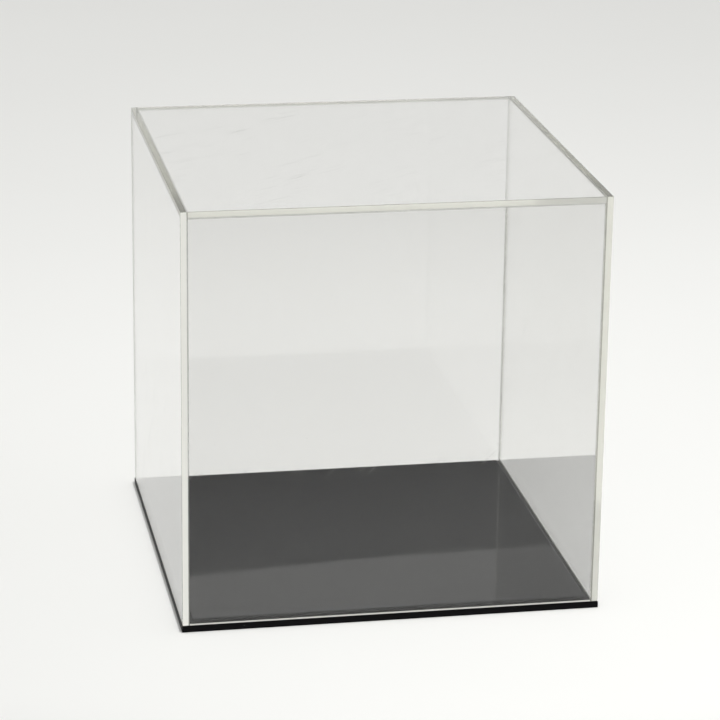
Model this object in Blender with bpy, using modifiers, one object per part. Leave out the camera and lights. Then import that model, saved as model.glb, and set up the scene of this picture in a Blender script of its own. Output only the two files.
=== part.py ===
"""Clear acrylic collection case: a lift-off cover of five bonded panels over a two-tier black base.

Front is -Y, left is -X as seen from the front, +Z is up. The origin is at the middle of the
footprint, on the surface that the case stands on. Lengths are in metres.
"""

import bmesh
import bpy
from mathutils import Vector

# Driving dimensions of the base
BASE_WIDTH = 0.200
BASE_DEPTH = 0.200
BASE_THICKNESS = 0.003
BASE_EDGE_BREAK = 0.00025

# Driving dimensions of the cover, measured over its outside
COVER_INSET = 0.00025
COVER_HEIGHT = 0.200
PANEL_THICKNESS = 0.003
PANEL_EDGE_BREAK = 0.00015

# The locating plate, which keeps the cover from sliding on the base
LOCATING_THICKNESS = 0.0015
LOCATING_CLEARANCE = 0.0025
LOCATING_EDGE_BREAK = 0.0002

# Layer of cement between bonded faces, and the gap under a cover that rests on the base
BOND_GAP = 0.0003
REST_GAP = 0.0003

# Flats that each broken edge is made of
EDGE_BREAK_SEGMENTS = 2

# Finishes
BLACK_ACRYLIC = (0.006, 0.006, 0.007, 1.0)
BLACK_ROUGHNESS = 0.06
CLEAR_ACRYLIC = (0.93, 0.95, 0.90, 1.0)
CLEAR_ROUGHNESS = 0.02
ACRYLIC_IOR = 1.49

# Sizes that follow from the driving dimensions
COVER_WIDTH = BASE_WIDTH - 2 * COVER_INSET
COVER_DEPTH = BASE_DEPTH - 2 * COVER_INSET
COVER_FLOOR_Z = BASE_THICKNESS + REST_GAP
COVER_TOP_Z = COVER_FLOOR_Z + COVER_HEIGHT
INNER_WIDTH = COVER_WIDTH - 2 * PANEL_THICKNESS
INNER_DEPTH = COVER_DEPTH - 2 * PANEL_THICKNESS
END_PANEL_WIDTH = INNER_WIDTH - 2 * BOND_GAP
END_PANEL_HEIGHT = COVER_HEIGHT - PANEL_THICKNESS - BOND_GAP
LOCATING_WIDTH = INNER_WIDTH - 2 * LOCATING_CLEARANCE
LOCATING_DEPTH = INNER_DEPTH - 2 * LOCATING_CLEARANCE


def clear_scene():
    """Take away whatever the file held before."""
    for item in list(bpy.data.objects):
        bpy.data.objects.remove(item, do_unlink=True)


def black_acrylic():
    """Gloss black acrylic of the base."""
    material = bpy.data.materials.new("black_acrylic")
    material.use_nodes = True
    shader = material.node_tree.nodes["Principled BSDF"]
    shader.inputs["Base Color"].default_value = BLACK_ACRYLIC
    shader.inputs["Roughness"].default_value = BLACK_ROUGHNESS
    shader.inputs["Metallic"].default_value = 0.0
    shader.inputs["IOR"].default_value = ACRYLIC_IOR
    return material


def clear_acrylic():
    """Clear cast acrylic of the cover's panels."""
    material = bpy.data.materials.new("clear_acrylic")
    material.use_nodes = True
    shader = material.node_tree.nodes["Principled BSDF"]
    shader.inputs["Base Color"].default_value = CLEAR_ACRYLIC
    shader.inputs["Roughness"].default_value = CLEAR_ROUGHNESS
    shader.inputs["Metallic"].default_value = 0.0
    shader.inputs["IOR"].default_value = ACRYLIC_IOR
    shader.inputs["Transmission Weight"].default_value = 1.0
    return material


def sheet(name, size, centre, edge_break, material, collection, parent):
    """One flat piece cut from sheet, with its edges broken, standing about its own centre."""
    mesh = bpy.data.meshes.new(name)
    cage = bmesh.new()
    bmesh.ops.create_cube(cage, size=1.0)
    bmesh.ops.scale(cage, vec=Vector(size), verts=cage.verts)
    cage.to_mesh(mesh)
    cage.free()
    piece = bpy.data.objects.new(name, mesh)
    collection.objects.link(piece)
    piece.data.materials.append(material)
    piece.parent = parent
    piece.location = Vector(centre) - parent.location

    bevel = piece.modifiers.new("broken_edges", "BEVEL")
    bevel.width = edge_break
    bevel.segments = EDGE_BREAK_SEGMENTS
    bevel.limit_method = "ANGLE"
    return piece


def empty(name, location, collection):
    """An empty that carries the pieces of one body."""
    carrier = bpy.data.objects.new(name, None)
    carrier.location = location
    collection.objects.link(carrier)
    return carrier


def build_base(collection, material):
    """The base plate, and the smaller locating plate bonded on its middle."""
    carrier = empty("base_origin", (0, 0, 0), collection)
    sheet("base_plate",
          (BASE_WIDTH, BASE_DEPTH, BASE_THICKNESS),
          (0, 0, BASE_THICKNESS / 2),
          BASE_EDGE_BREAK, material, collection, carrier)
    locating_z = BASE_THICKNESS + BOND_GAP + LOCATING_THICKNESS / 2
    sheet("locating_plate",
          (LOCATING_WIDTH, LOCATING_DEPTH, LOCATING_THICKNESS),
          (0, 0, locating_z),
          LOCATING_EDGE_BREAK, material, collection, carrier)


def build_cover(collection, material):
    """Two side panels run the full depth and height, and the other three fit between them.

    The top panel lies on the upper ends of the front and back panels.
    """
    carrier = empty("cover_lift_axis", (0, 0, COVER_FLOOR_Z), collection)
    side_x = (COVER_WIDTH - PANEL_THICKNESS) / 2
    side_z = COVER_FLOOR_Z + COVER_HEIGHT / 2
    for name, side in (("left_panel", -1), ("right_panel", 1)):
        sheet(name,
              (PANEL_THICKNESS, COVER_DEPTH, COVER_HEIGHT),
              (side * side_x, 0, side_z),
              PANEL_EDGE_BREAK, material, collection, carrier)

    end_y = (COVER_DEPTH - PANEL_THICKNESS) / 2
    end_z = COVER_FLOOR_Z + END_PANEL_HEIGHT / 2
    for name, side in (("front_panel", -1), ("back_panel", 1)):
        sheet(name,
              (END_PANEL_WIDTH, PANEL_THICKNESS, END_PANEL_HEIGHT),
              (0, side * end_y, end_z),
              PANEL_EDGE_BREAK, material, collection, carrier)

    sheet("top_panel",
          (END_PANEL_WIDTH, COVER_DEPTH, PANEL_THICKNESS),
          (0, 0, COVER_TOP_Z - PANEL_THICKNESS / 2),
          PANEL_EDGE_BREAK, material, collection, carrier)


def build():
    """Build the whole case."""
    clear_scene()
    collection = bpy.data.collections.new("acrylic_collection_case")
    bpy.context.scene.collection.children.link(collection)
    build_base(collection, black_acrylic())
    build_cover(collection, clear_acrylic())


build()
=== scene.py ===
"""Looks of the clear acrylic collection case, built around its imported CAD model. Lengths are in metres."""

import math

import bmesh
import bpy
from mathutils import Matrix, Vector


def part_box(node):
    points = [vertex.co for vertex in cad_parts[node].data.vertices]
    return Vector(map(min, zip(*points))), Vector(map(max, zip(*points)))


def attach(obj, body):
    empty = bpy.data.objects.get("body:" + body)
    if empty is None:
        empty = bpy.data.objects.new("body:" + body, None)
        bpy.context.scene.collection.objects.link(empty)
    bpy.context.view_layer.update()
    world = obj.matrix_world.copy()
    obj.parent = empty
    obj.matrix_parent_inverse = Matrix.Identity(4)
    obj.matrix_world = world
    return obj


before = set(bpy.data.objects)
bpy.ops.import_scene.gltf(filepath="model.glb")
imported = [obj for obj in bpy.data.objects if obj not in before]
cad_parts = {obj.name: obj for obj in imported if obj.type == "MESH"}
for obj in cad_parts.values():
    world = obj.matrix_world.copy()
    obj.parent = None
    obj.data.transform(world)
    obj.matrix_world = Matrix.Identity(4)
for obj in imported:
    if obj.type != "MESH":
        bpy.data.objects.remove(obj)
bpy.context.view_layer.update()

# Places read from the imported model
base_low, base_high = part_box("base_plate")
locating_low, locating_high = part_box("locating_plate")
left_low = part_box("left_panel")[0]
right_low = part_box("right_panel")[0]
front_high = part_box("front_panel")[1]
back_low, back_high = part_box("back_panel")
top_low, top_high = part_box("top_panel")

# Faces of the cover. It is symmetrical, so X and Y are distances from its middle planes.
# END_X is where the front, back and top panels end, just short of the side panels at INNER_X.
BASE_WIDTH = base_high.x - base_low.x
INNER_X = right_low.x
END_X = front_high.x
INNER_Y = back_low.y
OUTER_Y = back_high.y
COVER_FLOOR_Z = left_low.z
COVER_TOP_Z = top_high.z
INNER_TOP_Z = top_low.z
WALL_TOP_Z = front_high.z

# Width of the broken edges of the panels, as the model has them
EDGE_BREAK = 0.00015

# Colour sockets of a Mix node, by number because their names repeat
MIX_SHARE = 0
MIX_FIRST = 6
MIX_LAST = 7
MIX_RESULT = 2

# Finer layers that a noise texture adds to its first one, and the middle of its values
NO_DETAIL = 0.0
SOME_DETAIL = 1.0
MORE_DETAIL = 2.0
MOST_DETAIL = 3.0
NOISE_MIDDLE = 0.5

# How far past a face the masks in the materials reach
MASK_SLACK = 0.00001

# Optics of cast acrylic
ACRYLIC_IOR = 1.49
CLEAR_TINT = (0.938, 0.938, 0.935, 1.0)
ABSORPTION_COLOR = (0.89, 0.89, 0.81, 1.0)
ABSORPTION_DENSITY = 4.0

# Cement in the joints, with the small fillet that it leaves along the inner corners
CEMENT_FILLET = 0.0001
CEMENT_COLOR = (0.36, 0.36, 0.335, 1.0)
CEMENT_ROUGHNESS = 0.5
CEMENT_COVER = 0.68
CEMENT_UNEVEN = 0.4
CEMENT_GRAIN_SCALE = 900.0
CEMENT_PATCHES = 0.5
CEMENT_PATCH_SCALE = 55.0
CEMENT_RIPPLE_SCALE = 300.0
CEMENT_RIPPLE_DEPTH = 0.000012
CEMENT_RIPPLE_ROUGHNESS = 0.06
BUBBLE_SCALE = 700.0
BUBBLE_START = 0.16
BUBBLE_END = 0.24
BUBBLE_COVER = 0.3

# Cut edges, finished by a cutter and left a little milky. Their milky cream is partly that milkiness and
# partly painted glow of light piped along the panels to their edges.
CUT_EDGE_ROUGHNESS = 0.18
CUT_EDGE_COLOR = (0.92, 0.92, 0.885, 1.0)
# Shares of milk and painted glow on the cut edges: more painted glow on the left side panel than on the
# right, and a painted light line along the foot of the front and back panels
LEFT_MILK_AND_PIPED_GLOW = 0.82
RIGHT_MILK_AND_PIPED_GLOW = 0.45
WALL_MILK_AND_PIPED_GLOW = 0.85
TOP_MILK_AND_PIPED_GLOW = 0.45
CUTTER_MARK_WIDTH = 0.0004
CUTTER_MARK_LENGTH = 0.02
CUTTER_MARK_DEPTH = 0.000012

# Fine wear of the faces. Scales are in repeats per metre, sizes and depths in metres.
CLEAR_WAVE_SCALE = 14.0
CLEAR_WAVE_DEPTH = 0.00002
BLACK_WAVE_SCALE = 90.0
BLACK_WAVE_DEPTH = 0.000003
HAZE_SCALE = 38.0
HAZE_START = 0.45
HAZE_END = 0.75
CLEAR_HAZE_ROUGHNESS = 0.025
BLACK_HAZE_ROUGHNESS = 0.025
HAIRLINE_SIZE = (0.035, 0.00035, 0.035)
HAIRLINE_START = 0.71
HAIRLINE_END = 0.78
HAIRLINE_DEPTH = 0.000003
HAIRLINE_ROUGHNESS = 0.12
CLEAR_HAIRLINE_TURN = (0.6, 0.45, 0.9)
BLACK_HAIRLINE_TURN = (0.0, 0.0, 0.7)
DUST_SCALE = 240.0
DUST_CORE = 0.02
DUST_RIM = 0.045
DUST_COLOR = (0.75, 0.75, 0.73, 1.0)
DUST_COVER = 0.6

# Black acrylic: the base plate has a satin face, the locating plate a glossy one
BLACK_COLOR = (0.004, 0.004, 0.0045, 1.0)
BLACK_EDGE_ROUGHNESS = 0.1
SATIN_SPECULAR_LEVEL = 0.05
SATIN_ROUGHNESS = 0.3
GLOSS_SPECULAR_LEVEL = 0.5
GLOSS_ROUGHNESS = 0.0

# Camera, fitted to the straight edges of the case in the photograph
CAMERA_YAW = 0.186087
CAMERA_PITCH = 0.320646
CAMERA_ROLL = 0.013601
CAMERA_EYE_SHARES = (-0.799218, -6.439961, 2.827422)
FOCAL_PIXELS = 3017.47
PHOTO_PIXELS = 720
SENSOR_MM = 36.0


def make_camera():
    """The photograph's viewpoint. Its eye is in shares of the base's width from the front left corner."""
    forward = Vector((math.sin(CAMERA_YAW) * math.cos(CAMERA_PITCH),
                      math.cos(CAMERA_YAW) * math.cos(CAMERA_PITCH),
                      -math.sin(CAMERA_PITCH)))
    level = Vector((math.cos(CAMERA_YAW), -math.sin(CAMERA_YAW), 0))
    upright = level.cross(forward)
    right = math.cos(CAMERA_ROLL) * level + math.sin(CAMERA_ROLL) * upright
    up = -math.sin(CAMERA_ROLL) * level + math.cos(CAMERA_ROLL) * upright
    data = bpy.data.cameras.new("camera")
    data.sensor_width = SENSOR_MM
    data.lens = FOCAL_PIXELS / PHOTO_PIXELS * SENSOR_MM
    camera = bpy.data.objects.new("camera", data)
    bpy.context.scene.collection.objects.link(camera)
    place = Matrix((right, up, -forward)).transposed().to_4x4()
    corner = Vector((base_low.x, base_low.y, base_low.z))
    place.translation = corner + Vector(CAMERA_EYE_SHARES) * BASE_WIDTH
    camera.matrix_world = place
    bpy.context.scene.camera = camera


class Nodes:
    """A short way to write node trees."""

    def __init__(self, tree):
        self.tree = tree

    def add(self, kind, **settings):
        """A node with its settings, and its inputs by name or number."""
        node = self.tree.nodes.new(kind)
        inputs = settings.pop("inputs", {})
        for name, value in settings.items():
            setattr(node, name, value)
        for name, value in inputs.items():
            self.put(node.inputs[name], value)
        return node

    def put(self, socket, value):
        """Links a socket to another, or sets its value."""
        if isinstance(value, bpy.types.NodeSocket):
            self.tree.links.new(value, socket)
        else:
            socket.default_value = value

    def math(self, operation, *values):
        """The result of a Math node."""
        node = self.add("ShaderNodeMath", operation=operation)
        for socket, value in zip(node.inputs, values):
            self.put(socket, value)
        return node.outputs[0]

    def ramp(self, value, start, end, first, last):
        """A smooth change from first to last while the value goes from start to end."""
        node = self.add("ShaderNodeMapRange", interpolation_type="SMOOTHSTEP",
                        inputs={"Value": value, "From Min": start, "From Max": end,
                                "To Min": first, "To Max": last})
        return node.outputs["Result"]

    def blend(self, share, first, last):
        """A colour between first and last."""
        node = self.add("ShaderNodeMix", data_type="RGBA")
        self.put(node.inputs[MIX_SHARE], share)
        self.put(node.inputs[MIX_FIRST], first)
        self.put(node.inputs[MIX_LAST], last)
        return node.outputs[MIX_RESULT]

    def noise(self, place, scale, detail):
        """The value of a noise texture."""
        return self.add("ShaderNodeTexNoise",
                        inputs={"Vector": place, "Scale": scale, "Detail": detail}).outputs[0]

    def streaks(self, place, turn, size):
        """Noise that is stretched to a size in metres, along turned axes."""
        turned = self.add("ShaderNodeMapping", vector_type="TEXTURE",
                          inputs={"Vector": place, "Rotation": turn, "Scale": size})
        return self.noise(turned.outputs[0], 1.0, SOME_DETAIL)

    def spots(self, place, scale, core, rim):
        """One inside small round spots, and zero beyond their rims."""
        cells = self.add("ShaderNodeTexVoronoi", inputs={"Vector": place, "Scale": scale})
        return self.ramp(cells.outputs["Distance"], core, rim, 1.0, 0.0)

    def relief(self, shader, height):
        """Bump from a height in metres."""
        bump = self.add("ShaderNodeBump", inputs={"Strength": 1.0, "Distance": 1.0, "Height": height})
        self.put(shader.inputs["Normal"], bump.outputs[0])

    def least(self, values):
        """The least of several values."""
        result = values[0]
        for value in values[1:]:
            result = self.math("MINIMUM", result, value)
        return result

    def greatest(self, values):
        """The greatest of several values."""
        result = values[0]
        for value in values[1:]:
            result = self.math("MAXIMUM", result, value)
        return result


def new_material(name):
    """A material with its node helper, its Principled shader and its object coordinates."""
    material = bpy.data.materials.new(name)
    material.use_nodes = True
    nodes = Nodes(material.node_tree)
    shader = material.node_tree.nodes["Principled BSDF"]
    place = nodes.add("ShaderNodeTexCoord").outputs["Object"]
    return material, nodes, shader, place


def joint_mask(nodes, place, zones):
    """One where a point lies in any of the zones. A zone is a list of tests, each (axis, side, limit).

    The axis "y_out" is the distance from the middle plane along Y, and "x_out" the same along X.
    """
    parts = nodes.add("ShaderNodeSeparateXYZ", inputs={0: place})
    values = {
        "x_out": nodes.math("ABSOLUTE", parts.outputs[0]),
        "y_out": nodes.math("ABSOLUTE", parts.outputs[1]),
        "z": parts.outputs[2],
    }
    inside = []
    for zone in zones:
        tests = []
        for axis, side, limit in zone:
            operation = "GREATER_THAN" if side == "over" else "LESS_THAN"
            tests.append(nodes.math(operation, values[axis], limit))
        inside.append(nodes.least(tests))
    return nodes.greatest(inside)


def glass_settings(shader):
    """What all clear faces share."""
    shader.inputs["Base Color"].default_value = CLEAR_TINT
    shader.inputs["Roughness"].default_value = 0.0
    shader.inputs["Transmission Weight"].default_value = 1.0
    shader.inputs["IOR"].default_value = ACRYLIC_IOR


def worn_surface(nodes, place, turn, wave_scale, wave_depth):
    """Height in metres, wipe haze, hairline scratches and dust of a face. The last three are shares."""
    wave = nodes.math("MULTIPLY", nodes.noise(place, wave_scale, NO_DETAIL), wave_depth)
    haze = nodes.ramp(nodes.noise(place, HAZE_SCALE, MORE_DETAIL), HAZE_START, HAZE_END, 0.0, 1.0)
    hairlines = nodes.ramp(nodes.streaks(place, turn, HAIRLINE_SIZE), HAIRLINE_START, HAIRLINE_END, 0.0, 1.0)
    dust = nodes.spots(place, DUST_SCALE, DUST_CORE, DUST_RIM)
    height = nodes.math("SUBTRACT", wave, nodes.math("MULTIPLY", hairlines, HAIRLINE_DEPTH))
    return height, haze, hairlines, dust


def cutter_marks(nodes, place, cut, mark_size):
    """Height in metres of the lines that the cutter left across the cut edges."""
    marks = nodes.streaks(place, (0.0, 0.0, 0.0), mark_size)
    return nodes.math("MULTIPLY", nodes.math("MULTIPLY", marks, cut), CUTTER_MARK_DEPTH)


def clear_acrylic(name, zones, cut_zones, milk_and_glow_zones, milk_and_glow_share, mark_size):
    """Clear cast acrylic. Where cement bonds a face to its neighbour, the face bends no light."""
    material, nodes, shader, place = new_material(name)
    glass_settings(shader)
    bonded = joint_mask(nodes, place, zones)
    nodes.put(shader.inputs["Alpha"], nodes.math("SUBTRACT", 1.0, bonded))

    cut = joint_mask(nodes, place, cut_zones)
    height, haze, hairlines, dust = worn_surface(nodes, place, CLEAR_HAIRLINE_TURN, CLEAR_WAVE_SCALE,
                                                 CLEAR_WAVE_DEPTH)
    nodes.relief(shader, nodes.math("ADD", height, cutter_marks(nodes, place, cut, mark_size)))

    wear = nodes.math("MAXIMUM", nodes.math("MULTIPLY", haze, CLEAR_HAZE_ROUGHNESS),
                      nodes.math("MULTIPLY", hairlines, HAIRLINE_ROUGHNESS))
    nodes.put(shader.inputs["Roughness"],
              nodes.math("MAXIMUM", wear, nodes.math("MULTIPLY", cut, CUT_EDGE_ROUGHNESS)))

    # Milky cut edges: partly real milkiness, partly painted glow of light piped along the panel to its edges
    milk_and_glow = joint_mask(nodes, place, milk_and_glow_zones)
    cloudy_and_glow = nodes.math("MAXIMUM", nodes.math("MULTIPLY", milk_and_glow, milk_and_glow_share),
                        nodes.math("MULTIPLY", dust, DUST_COVER))
    nodes.put(shader.inputs["Transmission Weight"], nodes.math("SUBTRACT", 1.0, cloudy_and_glow))
    milk_and_glow_color = nodes.blend(milk_and_glow, CLEAR_TINT, CUT_EDGE_COLOR)
    nodes.put(shader.inputs["Base Color"], nodes.blend(dust, milk_and_glow_color, DUST_COLOR))

    tint = nodes.add("ShaderNodeVolumeAbsorption",
                     inputs={"Color": ABSORPTION_COLOR, "Density": ABSORPTION_DENSITY})
    output = material.node_tree.nodes["Material Output"]
    nodes.put(output.inputs["Volume"], tint.outputs[0])
    return material


def black_acrylic(name, specular_level, roughness, half_width, half_depth):
    """Black cast acrylic of the base, with its cut edges a little duller than its faces."""
    material, nodes, shader, place = new_material(name)
    shader.inputs["IOR"].default_value = ACRYLIC_IOR
    shader.inputs["Specular IOR Level"].default_value = specular_level
    edge_zones = [
        [("x_out", "over", half_width - MASK_SLACK)],
        [("y_out", "over", half_depth - MASK_SLACK)],
    ]
    cut = joint_mask(nodes, place, edge_zones)
    height, haze, hairlines, dust = worn_surface(nodes, place, BLACK_HAIRLINE_TURN, BLACK_WAVE_SCALE,
                                                 BLACK_WAVE_DEPTH)
    mark_size = (CUTTER_MARK_WIDTH, CUTTER_MARK_WIDTH, CUTTER_MARK_LENGTH)
    nodes.relief(shader, nodes.math("ADD", height, cutter_marks(nodes, place, cut, mark_size)))

    wear = nodes.math("MAXIMUM", nodes.math("MULTIPLY", haze, BLACK_HAZE_ROUGHNESS),
                      nodes.math("MULTIPLY", hairlines, HAIRLINE_ROUGHNESS))
    duller = nodes.math("MAXIMUM", wear, nodes.math("MULTIPLY", cut, BLACK_EDGE_ROUGHNESS))
    nodes.put(shader.inputs["Roughness"], nodes.math("ADD", duller, roughness))
    dusty = nodes.math("MULTIPLY", dust, DUST_COVER)
    nodes.put(shader.inputs["Base Color"], nodes.blend(dusty, BLACK_COLOR, DUST_COLOR))
    return material


# Where cement bonds each kind of panel, where its cut edges are, and where those are milky and carry painted
# glow
side_zones = [
    [("x_out", "under", INNER_X + EDGE_BREAK), ("y_out", "over", INNER_Y - CEMENT_FILLET)],
    [("x_out", "under", INNER_X + EDGE_BREAK), ("z", "over", INNER_TOP_Z - CEMENT_FILLET)],
]
wall_zones = [
    [("x_out", "over", END_X - EDGE_BREAK - MASK_SLACK)],
    [("z", "over", WALL_TOP_Z - EDGE_BREAK - MASK_SLACK)],
]
top_zones = [
    [("x_out", "over", END_X - EDGE_BREAK - MASK_SLACK)],
    [("z", "under", INNER_TOP_Z + EDGE_BREAK + MASK_SLACK), ("y_out", "over", INNER_Y - CEMENT_FILLET)],
]
side_cuts = [
    [("y_out", "over", OUTER_Y - MASK_SLACK)],
    [("z", "under", COVER_FLOOR_Z + MASK_SLACK)],
    [("z", "over", COVER_TOP_Z - MASK_SLACK)],
]
wall_cuts = [[("z", "under", COVER_FLOOR_Z + MASK_SLACK)]]
top_cuts = [[("y_out", "over", OUTER_Y - MASK_SLACK)]]
side_milk_and_glow = [[("y_out", "over", OUTER_Y - MASK_SLACK)]]


def seen_cement():
    """Cement where it shows at the surface: it bends light as the panels do, but its skin is rippled."""
    material, nodes, shader, place = new_material("cement_seen")
    glass_settings(shader)
    ripple = nodes.noise(place, CEMENT_RIPPLE_SCALE, SOME_DETAIL)
    nodes.relief(shader, nodes.math("MULTIPLY", ripple, CEMENT_RIPPLE_DEPTH))
    nodes.put(shader.inputs["Roughness"], nodes.math("MULTIPLY", ripple, CEMENT_RIPPLE_ROUGHNESS))
    return material


def bonded_cement():
    """Cement where it meets a panel: milky, patchy and with small bubbles. Some light goes through."""
    material, nodes, shader, place = new_material("cement_bonded")
    shader.inputs["Roughness"].default_value = CEMENT_ROUGHNESS
    grain = nodes.math("SUBTRACT", nodes.noise(place, CEMENT_GRAIN_SCALE, MOST_DETAIL), NOISE_MIDDLE)
    patches = nodes.math("SUBTRACT", nodes.noise(place, CEMENT_PATCH_SCALE, SOME_DETAIL), NOISE_MIDDLE)
    uneven = nodes.math("ADD", nodes.math("MULTIPLY", grain, CEMENT_UNEVEN),
                        nodes.math("MULTIPLY", patches, CEMENT_PATCHES))
    bubbles = nodes.spots(place, BUBBLE_SCALE, BUBBLE_START, BUBBLE_END)
    cover = nodes.math("SUBTRACT", nodes.math("ADD", uneven, CEMENT_COVER),
                       nodes.math("MULTIPLY", bubbles, BUBBLE_COVER))
    nodes.put(shader.inputs["Alpha"], nodes.math("MAXIMUM", cover, 0.0))
    nodes.put(shader.inputs["Base Color"], nodes.blend(bubbles, CEMENT_COLOR, CUT_EDGE_COLOR))
    return material


cement_seen = seen_cement()
cement_bonded = bonded_cement()


def swept_seam(name, section, stations, seen, ends_seen):
    """A closed piece from a section and a list of functions that place a section point at each station.

    seen holds the numbers of the section's sides whose faces are seen.
    """
    mesh = bpy.data.meshes.new(name)
    shape = bmesh.new()
    rows = [[shape.verts.new(station(point)) for point in section] for station in stations]
    count = len(section)
    for row, following in zip(rows, rows[1:]):
        for side in range(count):
            other = (side + 1) % count
            face = shape.faces.new((row[side], row[other], following[other], following[side]))
            face.material_index = 0 if side in seen else 1
    for end in (shape.faces.new(rows[0]), shape.faces.new(reversed(rows[-1]))):
        end.material_index = 0 if ends_seen else 1
    bmesh.ops.recalc_face_normals(shape, faces=shape.faces)
    shape.to_mesh(mesh)
    shape.free()
    mesh.materials.append(cement_seen)
    mesh.materials.append(cement_bonded)
    piece = bpy.data.objects.new(name, mesh)
    piece.visible_shadow = False
    bpy.context.scene.collection.objects.link(piece)
    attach(piece, "cover")
    return piece


def side_station(side, end, at_top):
    """Places a section point in a side seam: at the front (-1) or back (1) end, at the foot or the top."""
    def station(point):
        z = COVER_TOP_Z - point[1] if at_top else COVER_FLOOR_Z + EDGE_BREAK
        return side * point[0], end * (OUTER_Y - point[1]), z

    return station


def side_seams():
    """Cement between each side panel and the front, top and back panels, in one run over the cover.

    Side 0 of the section is the outer skin of the cement, and side 4 its fillet on the inside.
    """
    depth = OUTER_Y - INNER_Y
    section = [
        (INNER_X + EDGE_BREAK, 0.0),
        (END_X - EDGE_BREAK, 0.0),
        (END_X, EDGE_BREAK),
        (END_X, depth - EDGE_BREAK),
        (END_X - EDGE_BREAK, depth),
        (INNER_X, depth + CEMENT_FILLET),
        (INNER_X, EDGE_BREAK),
    ]
    route = ((-1, False), (-1, True), (1, True), (1, False))
    for name, side in (("left_cement_seam", -1), ("right_cement_seam", 1)):
        stations = [side_station(side, end, at_top) for end, at_top in route]
        swept_seam(name, section, stations, {0, 4}, True)


def end_station(side, x):
    """Places a section point at one end of the seam over the front (-1) or back (1) panel."""
    def station(point):
        return x, side * (OUTER_Y - point[0]), point[1]

    return station


def end_seams():
    """Cement between the top panel and the upper ends of the front and back panels.

    Side 3 of the section is the cement's fillet on the inside, and side 6 its outer skin.
    """
    depth = OUTER_Y - INNER_Y
    section = [
        (0.0, WALL_TOP_Z - EDGE_BREAK),
        (EDGE_BREAK, WALL_TOP_Z),
        (depth - EDGE_BREAK, WALL_TOP_Z),
        (depth, WALL_TOP_Z - EDGE_BREAK),
        (depth + CEMENT_FILLET, INNER_TOP_Z),
        (EDGE_BREAK, INNER_TOP_Z),
        (0.0, INNER_TOP_Z + EDGE_BREAK),
    ]
    reach = END_X - EDGE_BREAK
    for name, side in (("front_cement_seam", -1), ("back_cement_seam", 1)):
        swept_seam(name, section, [end_station(side, -reach), end_station(side, reach)], {3, 6}, False)


def dress_model():
    """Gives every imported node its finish."""
    base_half = (base_high - base_low) / 2
    locating_half = (locating_high - locating_low) / 2
    across_sides = (CUTTER_MARK_LENGTH, CUTTER_MARK_WIDTH, CUTTER_MARK_WIDTH)
    across_walls = (CUTTER_MARK_WIDTH, CUTTER_MARK_LENGTH, CUTTER_MARK_WIDTH)
    across_top = (CUTTER_MARK_WIDTH, CUTTER_MARK_WIDTH, CUTTER_MARK_LENGTH)
    materials = {
        "base_plate": black_acrylic("satin_black_acrylic", SATIN_SPECULAR_LEVEL, SATIN_ROUGHNESS,
                                    base_half.x, base_half.y),
        "locating_plate": black_acrylic("gloss_black_acrylic", GLOSS_SPECULAR_LEVEL, GLOSS_ROUGHNESS,
                                        locating_half.x, locating_half.y),
        # The left and right side panels differ only in how much painted glow their cut edges carry
        "left_panel": clear_acrylic("clear_acrylic_left", side_zones, side_cuts, side_milk_and_glow, LEFT_MILK_AND_PIPED_GLOW,
                                    across_sides),
        "right_panel": clear_acrylic("clear_acrylic_right", side_zones, side_cuts, side_milk_and_glow, RIGHT_MILK_AND_PIPED_GLOW,
                                     across_sides),
        "front_panel": clear_acrylic("clear_acrylic_walls", wall_zones, wall_cuts, wall_cuts, WALL_MILK_AND_PIPED_GLOW,
                                     across_walls),
        "top_panel": clear_acrylic("clear_acrylic_top", top_zones, top_cuts, top_cuts, TOP_MILK_AND_PIPED_GLOW, across_top),
    }
    materials["back_panel"] = materials["front_panel"]
    for node, material in materials.items():
        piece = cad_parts[node]
        piece.data.materials.clear()
        piece.data.materials.append(material)
        piece.visible_shadow = node in ("base_plate", "locating_plate")


# Floor
FLOOR_SIZE = 30.0
FLOOR_COLOR = (0.89, 0.89, 0.876, 1.0)
FLOOR_SHADE = (0.88, 0.88, 0.864, 1.0)
FLOOR_ROUGHNESS = 0.9
FLOOR_SHADE_SCALE = 7.0
FLOOR_GRAIN_SCALE = 900.0
FLOOR_GRAIN_DEPTH = 0.00001

# Light. Heights on the dome are sines of the angle over the horizon.
DOME_COLOR = (1.0, 1.0, 0.98, 1.0)
GLOW_STRENGTH = 0.85
GAP_STRENGTH = 0.0
GLOW_END = 0.28
GAP_START = 0.32
CANOPY_EDGE = 0.393
CANOPY_EDGE_WIDTH = 0.0015
CANOPY_TILT = 0.0975
CANOPY_LOW_STRENGTH = 0.47
CANOPY_RISE = 0.05

# Name, place, aim, radius, cone in degrees, softness of the cone's edge, power in watts.
# The left and right lights only keep the floor pale in views from other sides.
SPOTS = (
    ("back_light", (-0.05, 1.2, 3.06), (-0.05, 1.217, 0.0), 0.35, 49.9, 0.395, 96.5),
    ("left_light", (-1.95, -0.1, 3.06), (-1.95, -0.1, 0.0), 0.35, 49.9, 0.395, 75.0),
    ("right_light", (1.95, -0.1, 3.06), (1.95, -0.1, 0.0), 0.35, 49.9, 0.395, 75.0),
    ("front_light", (0.3, -0.556, 1.065), (0.05, 0.6, 0.0), 0.12, 71.8, 0.102, 34.0),
)

# Bounces. Light has to pass many clear faces that lie behind one another.
CLEAR_BOUNCES = 128
STRAIGHT_BOUNCES = 64
DIFFUSE_BOUNCES = 4


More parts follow.
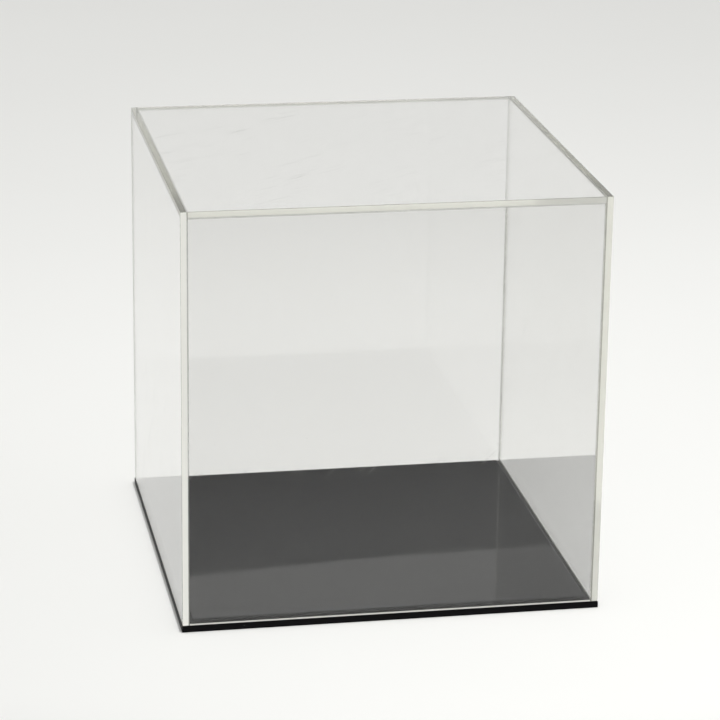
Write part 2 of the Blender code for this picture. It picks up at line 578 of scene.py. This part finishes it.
def make_floor():
    """Plain pale floor, far larger than what the camera sees."""
    bpy.ops.mesh.primitive_plane_add(size=FLOOR_SIZE, location=(0, 0, 0))
    floor = bpy.context.object
    floor.name = "studio_floor"
    material, nodes, shader, place = new_material("studio_floor")
    shade = nodes.noise(place, FLOOR_SHADE_SCALE, MORE_DETAIL)
    nodes.put(shader.inputs["Base Color"], nodes.blend(shade, FLOOR_COLOR, FLOOR_SHADE))
    grain = nodes.noise(place, FLOOR_GRAIN_SCALE, SOME_DETAIL)
    nodes.relief(shader, nodes.math("MULTIPLY", grain, FLOOR_GRAIN_DEPTH))
    shader.inputs["Roughness"].default_value = FLOOR_ROUGHNESS
    shader.inputs["Specular IOR Level"].default_value = 0.0
    floor.data.materials.append(material)


def make_dome():
    """A glow along the horizon, and over it, past a dark gap, a soft canopy that brightens upwards."""
    world = bpy.data.worlds.new("studio")
    world.use_nodes = True
    nodes = Nodes(world.node_tree)
    direction = nodes.add("ShaderNodeTexCoord").outputs["Generated"]
    parts = nodes.add("ShaderNodeSeparateXYZ", inputs={0: direction})
    height = parts.outputs[2]
    glow = nodes.ramp(height, GLOW_END, GAP_START, GLOW_STRENGTH, GAP_STRENGTH)
    tilted = nodes.math("ADD", height, nodes.math("MULTIPLY", parts.outputs[0], CANOPY_TILT))
    edge = nodes.ramp(tilted, CANOPY_EDGE, CANOPY_EDGE + CANOPY_EDGE_WIDTH, 0.0, 1.0)
    rise = nodes.math("MULTIPLY", nodes.math("SUBTRACT", height, CANOPY_EDGE), CANOPY_RISE)
    canopy = nodes.math("MULTIPLY", edge, nodes.math("ADD", rise, CANOPY_LOW_STRENGTH))
    background = world.node_tree.nodes["Background"]
    background.inputs["Color"].default_value = DOME_COLOR
    nodes.put(background.inputs["Strength"], nodes.math("ADD", glow, canopy))
    bpy.context.scene.world = world


def make_spots():
    """Lights over the floor. None of them can be seen, directly, in a reflection or through glass."""
    for name, place, aim, radius, cone, softness, power in SPOTS:
        data = bpy.data.lights.new(name, "SPOT")
        data.energy = power
        data.shadow_soft_size = radius
        data.spot_size = math.radians(cone)
        data.spot_blend = softness
        lamp = bpy.data.objects.new(name, data)
        bpy.context.scene.collection.objects.link(lamp)
        lamp.location = place
        lamp.rotation_mode = "QUATERNION"
        lamp.rotation_quaternion = (Vector(aim) - Vector(place)).to_track_quat("-Z", "Y")
        lamp.visible_camera = False
        lamp.visible_glossy = False
        lamp.visible_transmission = False


def set_light_paths():
    """Lets light pass the many clear faces that lie behind one another."""
    cycles = bpy.context.scene.cycles
    cycles.max_bounces = CLEAR_BOUNCES
    cycles.glossy_bounces = CLEAR_BOUNCES
    cycles.transmission_bounces = CLEAR_BOUNCES
    cycles.transparent_max_bounces = STRAIGHT_BOUNCES
    cycles.diffuse_bounces = DIFFUSE_BOUNCES
    cycles.blur_glossy = 0.0
    bpy.context.scene.view_settings.view_transform = "Standard"


make_camera()
make_floor()
make_dome()
make_spots()
set_light_paths()
dress_model()
side_seams()
end_seams()
